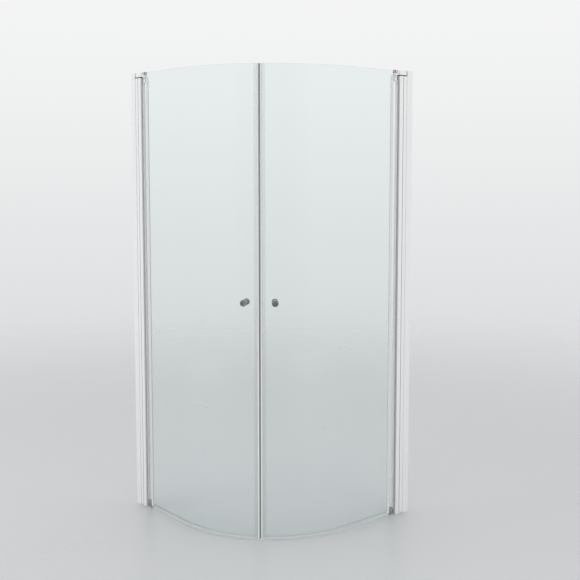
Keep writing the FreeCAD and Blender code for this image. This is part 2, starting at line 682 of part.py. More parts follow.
def magnet_strip():
    """The dark magnet strip, with two bevels towards the other door."""
    half, tip = "(Sizes.magnet_width / 2)", "(Sizes.magnet_tip / 2)"
    shoulder = "(Sizes.meeting_gap + Sizes.magnet_bevel)"
    outline = [along(f"-{half}", HOLDER_START), along(f"-{half}", shoulder),
               along(f"-{tip}", "Sizes.meeting_gap"), along(tip, "Sizes.meeting_gap"),
               along(half, shoulder), along(half, HOLDER_START)]
    return bar("left_magnet_strip", STRIP_FOOT, GLASS_TOP, outline)


def magnet_holder():
    """The bright edge profile that the magnet strip sits on."""
    half = "(Sizes.holder_width / 2)"
    return bar("left_magnet_holder", STRIP_FOOT, GLASS_TOP,
               **bend_piece(f"-{half}", half, HOLDER_START, CARRIER_START))


def seal_carrier():
    """The clear plastic profile pushed on the edge of the glass, with a leg on each face."""
    body = bar("left_seal_carrier", STRIP_FOOT, GLASS_TOP,
               **bend_piece(f"-{CARRIER_HALF}", CARRIER_HALF, CARRIER_START, "Sizes.carrier_end"))
    slot = bend_piece(f"-{LEG_INSIDE}", LEG_INSIDE, f"{CARRIER_START} + Sizes.carrier_web",
                      "Sizes.carrier_end + 1")
    cut_bar(body, STRIP_FOOT, GLASS_TOP, **slot)
    return body


def bottom_sweep():
    """The clear sweep clipped under the glass: a base, two legs, a fin and a drip lip."""
    fin_end = HOLDER_START
    legs_start = f"({NOSE_REACH} + Sizes.gasket_lip + Sizes.sweep_gap)"
    legs_end = "(Sizes.carrier_end + Sizes.sweep_gap)"
    leg_top = "(Sizes.glass_foot + Sizes.sweep_leg)"
    body = bar("left_bottom_sweep", SWEEP_LOW, SWEEP_BASE,
               **band(f"-{SWEEP_HALF}", SWEEP_HALF, SWEEP_START, legs_end))
    add_bar(body, SWEEP_BASE, leg_top, **band(LEG_INSIDE, SWEEP_HALF, legs_start, legs_end))
    add_bar(body, SWEEP_BASE, leg_top, **band(f"-{SWEEP_HALF}", f"-{LEG_INSIDE}", legs_start, legs_end))
    fin = "(Sizes.sweep_fin / 2)"
    add_bar(body, "Sizes.sweep_clear", SWEEP_LOW, **band(f"-{fin}", fin, SWEEP_START, fin_end))
    lip = f"({SWEEP_HALF} - Sizes.sweep_wall)"
    add_bar(body, "Sizes.drip_clear", SWEEP_LOW, **band(lip, SWEEP_HALF, SWEEP_START, legs_end))
    return body


# --- the knobs ------------------------------------------------------------------------------------

def on_glass(item, inward=False):
    """Put a turned piece in the middle of the glass at the knobs, its X axis outwards or inwards."""
    x, y = along("0", "Sizes.knob_setback")
    angle = f"-45 - Sizes.knob_setback / {BEND} * 180 / pi"
    if inward:
        angle = f"{angle} + 180"
    return place(item, x, y, "Sizes.knob_height", angle=angle)


def turned_knob(name):
    """A turned knob: a base on the washer, a slim neck and a round-edged head with a shallow dish."""
    foot = KNOB_FOOT
    head, edge = "Sizes.knob_radius", "Sizes.knob_edge"
    flare = f"({foot} + Sizes.knob_flare)"
    face = f"({foot} + Sizes.knob_length)"
    bore = "(Sizes.stud_radius + Sizes.seat_gap)"
    depth = f"({foot} + Sizes.stud_depth + Sizes.seat_gap)"
    base_top = f"({foot} + Sizes.knob_base_height)"
    profile = [(f"{face} - Sizes.knob_dish", "0"), (depth, "0"), (depth, bore), (foot, bore),
               (foot, "Sizes.knob_base"), (base_top, "Sizes.knob_base"),
               (f"{base_top} + Sizes.knob_taper", "Sizes.knob_neck"),
               (f"{flare} - Sizes.knob_throat", "Sizes.knob_neck"), (flare, f"{head} - {edge}"),
               (f"{flare} + {edge}", head), (f"{face} - {edge}", head),
               (face, f"{head} - {edge}"), (f"{face} - Sizes.knob_dish", f"{head} - {edge} * 2")]
    return turned(name, profile, {8: (edge, -1), 10: (edge, -1)})


def knobs():
    """The outer and the inner knob; the inner one has a hole for its grub screw."""
    outer = on_glass(turned_knob("left_knob_outer"))
    blank = on_glass(turned_knob("knob_inner_blank"), inward=True)
    x, y = along(f"-{KNOB_FOOT} - Sizes.grub_offset", "Sizes.knob_setback")
    drill = rod("grub_drill", "Sizes.grub_radius + Sizes.screw_play", "Sizes.knob_neck",
                x, y, "Sizes.knob_height - Sizes.knob_neck * 1.1")
    return [outer, cut("left_knob_inner", blank, [drill])]


def knob_grub_screw():
    """The grub screw, from below, that locks the inner knob on the stud."""
    x, y = along(f"-{KNOB_FOOT} - Sizes.grub_offset", "Sizes.knob_setback")
    length = "(Sizes.knob_neck - Sizes.stud_radius - 2 * Sizes.grub_inset)"
    body = turned("left_knob_grub_screw", [
        ("Sizes.socket_depth", "0"), ("Sizes.socket_depth", "Sizes.grub_socket"),
        ("0", "Sizes.grub_socket"), ("0", "Sizes.grub_radius"),
        (length, "Sizes.grub_radius"), (length, "0")])
    return place(body, x, y, "Sizes.knob_height - Sizes.knob_neck + Sizes.grub_inset", **UP)


def knob_stud():
    """The threaded stud through the glass that joins the two knobs."""
    reach = f"({KNOB_FOOT} + Sizes.stud_depth)"
    radius, edge = "Sizes.stud_radius", "Sizes.stud_chamfer"
    body = turned("left_knob_stud", [
        (f"-{reach}", "0"), (f"-{reach}", f"{radius} - {edge}"), (f"-{reach} + {edge}", radius),
        (f"{reach} - {edge}", radius), (reach, f"{radius} - {edge}"), (reach, "0")])
    return on_glass(body)


def knob_washers():
    """Two soft washers, one on each face of the glass, with short sleeves in its hole."""
    bore = "(Sizes.stud_radius + Sizes.seat_gap)"
    sleeve = "(Sizes.glass_hole - Sizes.sleeve_gap)"
    washers = []
    for name, inward in (("washer_outer", False), ("washer_inner", True)):
        ring = turned(name, [("Sizes.sleeve_split", bore), (KNOB_FOOT, bore),
                             (KNOB_FOOT, "Sizes.knob_base"), (WASHER_FACE, "Sizes.knob_base"),
                             (WASHER_FACE, sleeve), ("Sizes.sleeve_split", sleeve)])
        washers.append(on_glass(ring, inward))
    return fuse("left_knob_washers", washers)


# --- the left half, its mirror image and the files ------------------------------------------------

def left_half():
    """Every piece of the left half, each a document object with its node's name."""
    pieces = [wall_channel(), channel_cap(), clamp_screws(), hinge_post(), post_seal(),
              top_bracket(), top_spacer(), foot_bracket(), pivot_cap()]
    deep = "Sizes.pin_length"
    pieces.append(pin("left_top_pin", f"({BRACKET_LOW} - {deep})", BRACKET_TOP))
    pieces.append(pin("left_foot_pin", "0", f"(Sizes.foot_thickness + {deep})"))
    pieces.append(port_screws("left_top_screws", f"{BRACKET_TOP} - Sizes.port_head_height", DOWN))
    pieces.append(port_screws("left_foot_screws", "Sizes.port_head_height", UP))
    pieces.append(hinge_stile())
    pieces.append(bush("left_top_bush", f"({STILE_TOP} - Sizes.bush_length)", STILE_TOP,
                       f"({STILE_TOP} + Sizes.top_flange)"))
    pieces.append(bush("left_foot_bush", f"({STILE_LOW} + Sizes.bush_length)",
                       f"({STILE_LOW} - Sizes.foot_flange)", STILE_LOW))
    pieces += [glazing_gasket(), glass(), seal_carrier(), magnet_holder(), magnet_strip(),
               bottom_sweep()]
    pieces += knobs()
    pieces += [knob_grub_screw(), knob_stud(), knob_washers()]
    return pieces


def mirror_image(piece):
    """The same piece of the right half."""
    name = piece.Label.replace("left_", "right_", 1)
    other = document.addObject("Part::Mirroring", name)
    other.Source = piece
    other.Base = FreeCAD.Vector(0, 0, 0)
    other.Normal = FreeCAD.Vector(1, 1, 0)
    other.Label = name
    return other


def check(pieces):
    """Stop before anything is written if an object has failed or a shape is no valid solid."""
    for item in document.Objects:
        if "Invalid" in item.State or "Error" in item.State:
            raise RuntimeError(f"{item.Label} has failed: {item.State}")
    for piece in pieces:
        shape = piece.Shape
        if shape.isNull() or not shape.isValid() or not shape.Solids:
            raise RuntimeError(f"{piece.Label} has no valid solid")


left_pieces = left_half()
all_pieces = left_pieces + [mirror_image(piece) for piece in left_pieces]
document.recompute()
check(all_pieces)
os.makedirs("parts", exist_ok=True)
for piece in all_pieces:
    piece.Shape.exportStep(f"parts/{piece.Label}.step")
    box = piece.Shape.BoundBox
    print(f"{piece.Label}: {len(piece.Shape.Solids)} solid(s), {piece.Shape.Volume / 1000:.1f} cm3,"
          f" x {box.XMin:.1f} {box.XMax:.1f}, y {box.YMin:.1f} {box.YMax:.1f},"
          f" z {box.ZMin:.1f} {box.ZMax:.1f}")
print(f"{len(all_pieces)} pieces")
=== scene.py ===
# %% [markdown]
# Quadrant shower enclosure, dressed in Blender.
#
# The real thing is two bent panes of toughened glass, each hung on a pale aluminium profile on its
# own wall, that meet in the middle of the bend. Nearly everything on it is drawn through a die,
# turned on a lathe or cut from sheet, so that is how the pieces are made here as well: a section is
# drawn and pushed along its run, a profile is spun about its axis, and an edge gets the small
# rounding that the real press, die or polishing wheel leaves.

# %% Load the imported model, which gives every piece its place
import math

import bmesh
import bpy
from mathutils import Matrix, Vector


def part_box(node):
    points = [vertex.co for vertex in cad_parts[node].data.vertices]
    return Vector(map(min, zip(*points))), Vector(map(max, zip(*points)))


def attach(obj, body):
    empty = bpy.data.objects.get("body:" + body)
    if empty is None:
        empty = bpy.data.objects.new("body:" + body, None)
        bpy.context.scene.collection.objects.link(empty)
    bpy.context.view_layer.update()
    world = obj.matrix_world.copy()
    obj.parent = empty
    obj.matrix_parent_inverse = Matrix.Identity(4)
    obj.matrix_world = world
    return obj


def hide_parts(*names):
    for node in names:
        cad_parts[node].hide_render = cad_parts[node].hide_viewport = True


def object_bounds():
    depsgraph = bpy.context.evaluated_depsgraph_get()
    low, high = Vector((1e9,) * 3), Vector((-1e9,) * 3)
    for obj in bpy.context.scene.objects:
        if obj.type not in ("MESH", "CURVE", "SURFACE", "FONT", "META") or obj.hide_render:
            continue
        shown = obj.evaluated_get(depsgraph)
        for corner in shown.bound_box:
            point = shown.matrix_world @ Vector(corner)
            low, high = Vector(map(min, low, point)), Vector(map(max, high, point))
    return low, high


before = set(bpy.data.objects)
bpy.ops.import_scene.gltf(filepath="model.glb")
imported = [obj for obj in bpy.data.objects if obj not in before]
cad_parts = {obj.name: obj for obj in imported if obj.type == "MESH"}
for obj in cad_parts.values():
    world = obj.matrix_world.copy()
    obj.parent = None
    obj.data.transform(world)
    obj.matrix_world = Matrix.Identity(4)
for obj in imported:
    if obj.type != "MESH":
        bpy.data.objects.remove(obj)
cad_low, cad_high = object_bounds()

MM = 0.001
SIDES = ("left", "right")
print("CAD box in mm:", [round(v / MM, 1) for v in (*cad_low, *cad_high)])

# %% [markdown]
# The camera stands where the photographer stood: 4.3 m out, at eye height, looking a little down
# at the middle of the bend. The horizon is above the middle of the picture although the uprights
# stay nearly parallel, which is what a shifted frame does, so the frame is shifted a little as
# well. More tilt instead of shift would make the uprights lean together.

# %% Camera
CAMERA_PLACE = (3.349, -2.695, 1.583)
CAMERA_AZIMUTH = math.radians(50.1)
CAMERA_DOWN = math.radians(5.36)
LENS_LENGTH = 58.9                    # in mm, on a frame 36 mm wide
LENS_SHIFT = (0.0034, -0.06)

lens = bpy.data.cameras.new("photograph")
lens.lens = LENS_LENGTH
lens.sensor_width = 36.0
lens.shift_x, lens.shift_y = LENS_SHIFT
lens.clip_start = 0.05
lens.clip_end = 60.0
camera = bpy.data.objects.new("photograph", lens)
camera.location = CAMERA_PLACE
camera.rotation_euler = (math.pi / 2 - CAMERA_DOWN, 0.0, CAMERA_AZIMUTH)
bpy.context.scene.collection.objects.link(camera)
bpy.context.scene.camera = camera
bpy.context.scene.view_settings.view_transform = "Standard"
print("camera", CAMERA_PLACE, "lens", LENS_LENGTH)

# %% [markdown]
# Clear glass and polished metal show the studio more than themselves, so the surroundings matter.
# The eye, and whatever the glass lets through, sees a pale backdrop that is a little lighter at
# the top. Polished metal sees the same backdrop, but with a darker end behind the camera, as a
# real studio has: without it chrome has nothing dark to show and turns to grey plastic. Matt
# surfaces get an even light from all round.

# %% Small helpers for shader trees
def put(tree, kind, values=None, **settings):
    """Add a node, with its settings and the plain values of its sockets."""
    item = tree.nodes.new(kind)
    for name, setting in settings.items():
        setattr(item, name, setting)
    for socket, value in (values or {}).items():
        item.inputs[socket].default_value = value
    return item


def wire(tree, start, end):
    tree.links.new(start, end)


def span(tree, source, low, high, to_low, to_high):
    """A value brought from one range to another, and held inside it."""
    item = put(tree, "ShaderNodeMapRange", {1: low, 2: high, 3: to_low, 4: to_high})
    wire(tree, source, item.inputs[0])
    return item.outputs[0]


def blend_colours(tree, share, first, second):
    """A colour between two others, by a share from 0 to 1."""
    item = put(tree, "ShaderNodeMix", {6: (*first, 1.0), 7: (*second, 1.0)}, data_type="RGBA")
    wire(tree, share, item.inputs[0])
    return item.outputs[2]


# %% The pale studio
BACKDROP_TONES = (                    # how far up or down one looks, and the colour there
    (-0.50, (0.610, 0.620, 0.630)),
    (-0.24, (0.680, 0.690, 0.698)),
    (-0.14, (0.745, 0.753, 0.760)),
    (-0.03, (0.810, 0.816, 0.822)),
    (0.07, (0.872, 0.876, 0.880)),
    (0.18, (0.910, 0.912, 0.915)),
)
DIM_END = (0.42, 0.425, 0.43)         # the end of the studio behind the camera
DIM_FROM, DIM_FULLY = 0.75, 0.96      # how straight towards the camera one looks
EVEN_LIGHT = 0.72

world = bpy.data.worlds.new("pale studio")
bpy.context.scene.world = world
world.use_nodes = True
tree = world.node_tree
tree.nodes.clear()
direction = put(tree, "ShaderNodeTexCoord").outputs["Generated"]
parts = put(tree, "ShaderNodeSeparateXYZ")
wire(tree, direction, parts.inputs[0])
lowest, highest = BACKDROP_TONES[0][0], BACKDROP_TONES[-1][0]
backdrop_ramp = put(tree, "ShaderNodeValToRGB")
wire(tree, span(tree, parts.outputs[2], lowest, highest, 0.0, 1.0), backdrop_ramp.inputs[0])
stops = backdrop_ramp.color_ramp.elements
for number, (level, tone) in enumerate(BACKDROP_TONES):
    stop = stops[number] if number < 2 else stops.new(1.0)
    stop.position = (level - lowest) / (highest - lowest)
    stop.color = (*tone, 1.0)
backdrop = backdrop_ramp.outputs[0]

toward_camera = put(tree, "ShaderNodeVectorMath", operation="DOT_PRODUCT")
toward_camera.inputs[1].default_value = (math.sin(CAMERA_AZIMUTH), -math.cos(CAMERA_AZIMUTH), 0.0)
wire(tree, direction, toward_camera.inputs[0])
dim_end = span(tree, toward_camera.outputs["Value"], DIM_FROM, DIM_FULLY, 0.0, 1.0)
reflected = put(tree, "ShaderNodeMix", {7: (*DIM_END, 1.0)}, data_type="RGBA")
wire(tree, dim_end, reflected.inputs[0])
wire(tree, backdrop, reflected.inputs[6])

path = put(tree, "ShaderNodeLightPath")
seen = put(tree, "ShaderNodeBackground", {"Strength": 1.0})
wire(tree, backdrop, seen.inputs[0])
mirrored = put(tree, "ShaderNodeBackground", {"Strength": 1.0})
wire(tree, reflected.outputs[2], mirrored.inputs[0])
lighting = put(tree, "ShaderNodeBackground", {0: (1.0, 1.0, 1.0, 1.0), 1: EVEN_LIGHT})
straight = put(tree, "ShaderNodeMath", operation="MAXIMUM")
wire(tree, path.outputs["Is Camera Ray"], straight.inputs[0])
wire(tree, path.outputs["Is Transmission Ray"], straight.inputs[1])
glossy_or_not = put(tree, "ShaderNodeMixShader")
wire(tree, path.outputs["Is Glossy Ray"], glossy_or_not.inputs[0])
wire(tree, lighting.outputs[0], glossy_or_not.inputs[1])
wire(tree, mirrored.outputs[0], glossy_or_not.inputs[2])
camera_or_not = put(tree, "ShaderNodeMixShader")
wire(tree, straight.outputs[0], camera_or_not.inputs[0])
wire(tree, glossy_or_not.outputs[0], camera_or_not.inputs[1])
wire(tree, seen.outputs[0], camera_or_not.inputs[2])
wire(tree, camera_or_not.outputs[0], put(tree, "ShaderNodeOutputWorld").inputs[0])
print("backdrop from", BACKDROP_TONES[0][1], "below to", BACKDROP_TONES[-1][1], "above")

# %% [markdown]
# Three large soft lamps give the light a direction: one on each side of the camera and one above.
# They are hidden from reflections and from what the glass lets through, because a lamp mirrored in
# a flat pane would be a hard bright square.

# %% Three large soft lamps
LAMPS = (                             # name, place, size in metres, watts
    ("key", (-1.2, -3.8, 1.4), 2.6, 36.0),
    ("fill", (4.4, -0.4, 1.3), 2.4, 37.0),
    ("overhead", (0.2, 0.0, 4.4), 2.4, 30.0),
)


def lamp(name, place, size, watts):
    """A square soft lamp that looks at the middle of the enclosure."""
    light = bpy.data.lights.new(name, "AREA")
    light.size = size
    light.energy = watts
    holder = bpy.data.objects.new(name, light)
    holder.location = place
    aim = Vector((0.0, 0.0, 1.0)) - Vector(place)
    holder.rotation_euler = aim.to_track_quat("-Z", "Y").to_euler()
    holder.visible_glossy = False
    holder.visible_transmission = False
    bpy.context.scene.collection.objects.link(holder)
    print(f"{name} lamp: {watts:g} W")


for entry in LAMPS:
    lamp(*entry)

# %% [markdown]
# The floor is a pale disc that turns paler and lets go of its colour towards its rim, so that it
# melts into the backdrop and no horizon line cuts through the glass. Only the floor near the
# enclosure counts: it takes the soft shadows, and a faint sheen mirrors the foot of the profiles.

# %% The floor
FLOOR_REACH = 7.0
FLOOR_SOLID = 1.5                     # where it starts to let go
FLOOR_TONES = (0.594, 0.605, 0.615), (0.616, 0.627, 0.636)
FAR_TONE = (0.78, 0.786, 0.792, 1.0)

bpy.ops.object.select_all(action="DESELECT")
bpy.ops.mesh.primitive_circle_add(vertices=96, radius=FLOOR_REACH, fill_type="NGON",
                                  location=(0.0, 0.0, -0.0006))
floor = bpy.context.object
floor.name = "pale_floor"
bpy.ops.object.transform_apply(location=True, rotation=True, scale=True)

floor_finish = bpy.data.materials.new("pale floor")
floor_finish.use_nodes = True
tree = floor_finish.node_tree
surface = tree.nodes["Principled BSDF"]
surface.inputs["Specular IOR Level"].default_value = 0.3
place = put(tree, "ShaderNodeTexCoord").outputs["Object"]
cloud = put(tree, "ShaderNodeTexNoise", {"Scale": 1.4, "Detail": 2.0})
wire(tree, place, cloud.inputs["Vector"])
near_colour = blend_colours(tree, cloud.outputs[0], *FLOOR_TONES)
wire(tree, span(tree, cloud.outputs[0], 0.3, 0.7, 0.27, 0.31), surface.inputs["Roughness"])
distance = put(tree, "ShaderNodeVectorMath", operation="LENGTH")
wire(tree, place, distance.inputs[0])
away = put(tree, "ShaderNodeMapRange", {1: FLOOR_SOLID, 2: FLOOR_REACH - 0.1, 3: 0.0, 4: 1.0},
           interpolation_type="SMOOTHSTEP")
wire(tree, distance.outputs["Value"], away.inputs[0])
paler = put(tree, "ShaderNodeMix", {7: FAR_TONE}, data_type="RGBA")
wire(tree, away.outputs[0], paler.inputs[0])
wire(tree, near_colour, paler.inputs[6])
wire(tree, paler.outputs[2], surface.inputs["Base Color"])
melt = put(tree, "ShaderNodeMixShader")
wire(tree, away.outputs[0], melt.inputs[0])
wire(tree, surface.outputs[0], melt.inputs[1])
wire(tree, put(tree, "ShaderNodeBsdfTransparent").outputs[0], melt.inputs[2])
wire(tree, melt.outputs[0], tree.nodes["Material Output"].inputs["Surface"])
floor.data.materials.append(floor_finish)
print("floor", FLOOR_REACH, "m")

# %% [markdown]
# Three effects come back in several finishes, so each is a shader group of its own. Die lines are
# the fine scratches that an extrusion die leaves along the metal. Handling marks are the faint
# greasy patches of hands and wiping cloths. Moulded grain is the fine spark-eroded skin of plastic
# and rubber. A group only gives a value that changes over the surface; each material decides what
# it does to colour, gloss or relief.

# %% Shader groups
def shader_group(name, inputs, output):
    """A new group with plain number inputs and one value output."""
    group = bpy.data.node_groups.new(name, "ShaderNodeTree")
    for label, value in inputs.items():
        socket = group.interface.new_socket(name=label, in_out="INPUT",
                                            socket_type="NodeSocketFloat")
        socket.default_value = value
    group.interface.new_socket(name=output, in_out="OUTPUT", socket_type="NodeSocketFloat")
    return group, group.nodes.new("NodeGroupInput"), group.nodes.new("NodeGroupOutput")


def scaled_noise(group, vector, scale, detail):
    """Noise on a vector, with a scale that comes from a socket."""
    noise = put(group, "ShaderNodeTexNoise", {"Detail": detail})
    wire(group, vector, noise.inputs["Vector"])
    if scale is not None:
        wire(group, scale, noise.inputs["Scale"])
    return noise


def make_die_lines():
    """Lines that run along one way: give it the lines per metre along X, Y and Z."""
    group, given, result = shader_group("Die lines", {"Along X": 900.0, "Along Y": 900.0,
                                                      "Along Z": 2.0}, "Lines")
    stretch = put(group, "ShaderNodeCombineXYZ")
    for number in range(3):
        wire(group, given.outputs[number], stretch.inputs[number])
    product = put(group, "ShaderNodeVectorMath", operation="MULTIPLY")
    wire(group, put(group, "ShaderNodeTexCoord").outputs["Object"], product.inputs[0])
    wire(group, stretch.outputs[0], product.inputs[1])
    noise = scaled_noise(group, product.outputs[0], None, 2.0)
    noise.inputs["Scale"].default_value = 1.0
    wire(group, span(group, noise.outputs[0], 0.3, 0.7, 0.0, 1.0), result.inputs[0])
    return group


def make_handling_marks():
    """Faint patches, each broken up by a finer smear."""
    group, given, result = shader_group("Handling marks", {"Patches": 9.0, "Smears": 140.0},
                                        "Marks")
    place = put(group, "ShaderNodeTexCoord").outputs["Object"]
    patches = scaled_noise(group, place, given.outputs["Patches"], 2.0)
    smears = scaled_noise(group, place, given.outputs["Smears"], 4.0)
    smears.inputs["Distortion"].default_value = 1.5
    both = put(group, "ShaderNodeMath", operation="MULTIPLY")
    wire(group, span(group, patches.outputs[0], 0.48, 0.68, 0.0, 1.0), both.inputs[0])
    wire(group, span(group, smears.outputs[0], 0.35, 0.75, 0.0, 1.0), both.inputs[1])
    wire(group, both.outputs[0], result.inputs[0])
    return group


def make_moulded_grain():
    """Small rounded pits, close together."""
    group, given, result = shader_group("Moulded grain", {"Fineness": 1600.0}, "Grain")
    cells = put(group, "ShaderNodeTexVoronoi", feature="SMOOTH_F1")
    wire(group, put(group, "ShaderNodeTexCoord").outputs["Object"], cells.inputs["Vector"])
    wire(group, given.outputs[0], cells.inputs["Scale"])
    wire(group, span(group, cells.outputs["Distance"], 0.0, 0.8, 0.0, 1.0), result.inputs[0])
    return group


DIE_LINES = make_die_lines()
HANDLING_MARKS = make_handling_marks()
MOULDED_GRAIN = make_moulded_grain()


def effect(tree, group, **values):
    """Place a group in a material with its own values, and give its output."""
    item = put(tree, "ShaderNodeGroup", node_tree=group)
    for label, value in values.items():
        item.inputs[label.replace("_", " ")].default_value = value
    return item.outputs[0]


def added(tree, first, second, share):
    """One value plus a share of another."""
    item = put(tree, "ShaderNodeMath", {2: 0.0}, operation="MULTIPLY_ADD")
    item.inputs[1].default_value = share
    wire(tree, second, item.inputs[0])
    wire(tree, first, item.inputs[2])
    return item.outputs[0]


def relief(tree, surface, height, depth, strength):
    """Fine relief on a surface, as a bump of a real depth in metres."""
    bump = put(tree, "ShaderNodeBump", {"Strength": strength, "Distance": depth})
    wire(tree, height, bump.inputs["Height"])
    wire(tree, bump.outputs[0], surface.inputs["Normal"])


print("groups", [group.name for group in (DIE_LINES, HANDLING_MARKS, MOULDED_GRAIN)])

# %% [markdown]
# Two pieces get painted shade: a dark tone on the faces where shade falls, in the groove along the
# post and on the flanks of the seal in the gap beside the door. Which faces these are is written
# into the mesh as an attribute, so the painted shade belongs to the piece and swings with it. On a
# mesh without the attribute the value is 0 everywhere, so a finish can always ask for it.

# %% Painted shade
# painted shade: marks the faces where shade falls, in the groove of the post and on the seal's
# flanks
PAINTED_SHADE = "painted_shade"                     # 1 in a shadow groove or on a dark flank, 0 elsewhere


def painted_shade_where_marked(tree, colour, tone):
    """A colour, and a painted shade tone where the mesh marks painted shade."""
    item = put(tree, "ShaderNodeMix", {7: (*tone, 1.0)}, data_type="RGBA")
    wire(tree, put(tree, "ShaderNodeAttribute", attribute_name=PAINTED_SHADE).outputs["Fac"],
         item.inputs[0])
    wire(tree, colour, item.inputs[6])
    return item.outputs[2]


print("dark places are read from the attribute", PAINTED_SHADE)

# %% [markdown]
# Metals. The profiles are aluminium with a pale anodised skin: bright and a little milky, with a
# soft gloss that stretches reflections along the die lines. The groove along the post is painted
# dark: painted shade, where shade falls in the groove. The pivot caps are plated and polished, and
# so are the knobs, in a darker plating. The screws and pins are plain stainless steel, and the
# plate on the floor is brushed. One function makes them all, from the tones, the gloss and the way
# of the lines.

# %% Metal finishes
def metal(name, tones, gloss, lines, marks=0.05, line_strength=0.12, bare=1.0):
    """tones: the darker and the lighter colour; gloss: roughness from low to high; lines: how many
    a metre along X, Y and Z; bare: 1 for bare metal, less for the milky skin of anodising."""
    finish = bpy.data.materials.new(name)
    finish.use_nodes = True
    tree = finish.node_tree
    surface = tree.nodes["Principled BSDF"]
    surface.inputs["Metallic"].default_value = bare
    drawn = effect(tree, DIE_LINES, Along_X=lines[0], Along_Y=lines[1], Along_Z=lines[2])
    smeared = effect(tree, HANDLING_MARKS, Patches=11.0, Smears=160.0)
    # painted shade: a dark tone on the faces that the mesh marks, the groove along the post
    colour = painted_shade_where_marked(tree, blend_colours(tree, drawn, *tones), PAINTED_GROOVE_SHADE)
    wire(tree, colour, surface.inputs["Base Color"])
    plain = span(tree, drawn, 0.0, 1.0, *gloss)
    wire(tree, added(tree, plain, smeared, marks), surface.inputs["Roughness"])
    relief(tree, surface, drawn, LINE_DEPTH, line_strength)
    return finish


UPRIGHT = (2500.0, 2500.0, 3.0)       # lines that run up a profile
ALL_WAYS = (260.0, 260.0, 260.0)      # the faint cloud that polishing leaves
LINE_DEPTH = 0.01 * MM
# the painted shade in the groove along the post
PAINTED_GROOVE_SHADE = (0.22, 0.222, 0.225)

satin_aluminium = metal("satin aluminium", ((0.85, 0.855, 0.86), (0.90, 0.905, 0.91)),
                        (0.26, 0.36), UPRIGHT, bare=0.2)
bright_edge = metal("bright edge profile", ((0.90, 0.905, 0.91), (0.95, 0.955, 0.96)),
                    (0.14, 0.22), UPRIGHT, marks=0.04, bare=0.35)
plated = metal("polished plating", ((0.56, 0.565, 0.575), (0.62, 0.625, 0.635)),
               (0.05, 0.08), ALL_WAYS, marks=0.10, line_strength=0.03)
dark_plated = metal("dark polished plating", ((0.26, 0.265, 0.27), (0.32, 0.325, 0.33)),
                    (0.035, 0.06), ALL_WAYS, marks=0.10, line_strength=0.03)
stainless = metal("stainless steel", ((0.58, 0.575, 0.565), (0.66, 0.655, 0.645)),
                  (0.20, 0.32), (1500.0, 1500.0, 1500.0))
brushed_steel = metal("brushed steel plate", ((0.72, 0.72, 0.715), (0.82, 0.82, 0.815)),
                      (0.30, 0.42), (6.0, 1300.0, 1300.0), bare=0.5)
print("metals", [finish.name for finish in (satin_aluminium, bright_edge, plated, dark_plated,
                                            stainless, brushed_steel)])

# %% [markdown]
# Plastics and rubber. They are coloured right through, so their colour hardly changes, and what
# tells them apart is the grain of the mould and how much they shine. The seal in the front of the
# post is pale rubber, and its outer flanks, in the gap beside the door, are painted dark as painted
# shade, which shows as a thin dark line beside the door. Which faces get it is marked in its mesh.

# %% Moulded finishes
GRAIN_DEPTH = 0.03 * MM


def moulded(name, tones, gloss, fineness, flank=None):
    """tones: the colour in the pits and on the ridges; gloss: roughness from low to high; flank:
    the painted shade colour for the faces of a flank in shade, where the mesh marks them."""
    finish = bpy.data.materials.new(name)
    finish.use_nodes = True
    tree = finish.node_tree
    surface = tree.nodes["Principled BSDF"]
    grain = effect(tree, MOULDED_GRAIN, Fineness=fineness)
    smeared = effect(tree, HANDLING_MARKS, Patches=14.0, Smears=220.0)
    colour = blend_colours(tree, added(tree, grain, smeared, 0.6), *tones)
    # painted shade on the marked flanks of the seal
    if flank:
        colour = painted_shade_where_marked(tree, colour, flank)
    wire(tree, colour, surface.inputs["Base Color"])
    wire(tree, added(tree, span(tree, grain, 0.0, 1.0, *gloss), smeared, 0.08),
         surface.inputs["Roughness"])
    relief(tree, surface, grain, GRAIN_DEPTH, 0.35)
    return finish


white_plastic = moulded("white moulded plastic", ((0.77, 0.77, 0.76), (0.83, 0.83, 0.82)),
                        (0.36, 0.46), 1500.0)
black_plastic = moulded("black moulded plastic", ((0.022, 0.023, 0.025), (0.040, 0.041, 0.044)),
                        (0.34, 0.46), 1700.0)
grey_plastic = moulded("grey moulded plastic", ((0.27, 0.272, 0.275), (0.33, 0.332, 0.335)),
                       (0.34, 0.46), 1700.0)
# the flank tone is painted shade of the gap beside the door
seal_rubber = moulded("pale seal rubber with painted flank shade", ((0.86, 0.863, 0.867), (0.92, 0.923, 0.927)),
                      (0.50, 0.66), 900.0, flank=(0.33, 0.333, 0.336))
milky_gasket = moulded("milky gasket", ((0.66, 0.67, 0.67), (0.72, 0.73, 0.73)),
                       (0.34, 0.46), 900.0)
magnet_grey = moulded("magnet strip", ((0.19, 0.19, 0.193), (0.25, 0.25, 0.253)),
                      (0.40, 0.55), 1200.0)
print("moulded", [finish.name for finish in (white_plastic, black_plastic, grey_plastic,
                                             seal_rubber, milky_gasket, magnet_grey)])

# %% [markdown]
# Glass and clear seals. The glass is 6 mm clear float glass: seen straight through it only takes
# a little of the red, but along its edges the light goes through a lot of it and comes out green.
# A volume does that by itself, so most of the colour is an absorption inside the pane. The faces
# have a tint as well, partly the glass's own slight green and partly painted shade: it darkens all
# that is seen through the panes, as if the inside of the enclosure were in shade. The ground edges
# are duller and greener, and the mesh marks them. Lamps would not get through a solid pane, so for
# shadow rays it steps aside. The seals and the profile that holds the pane are clear plastic, drawn
# like the metal. Their index is lower than the real one, because many thin walls behind each other
# would otherwise turn dark.

# %% Clear finishes
GROUND = "ground_edge"                # 1 on the ground edges of a pane, 0 on its faces
GROUND_TONE = (0.84, 0.92, 0.90)
GROUND_GLOSS = 0.36


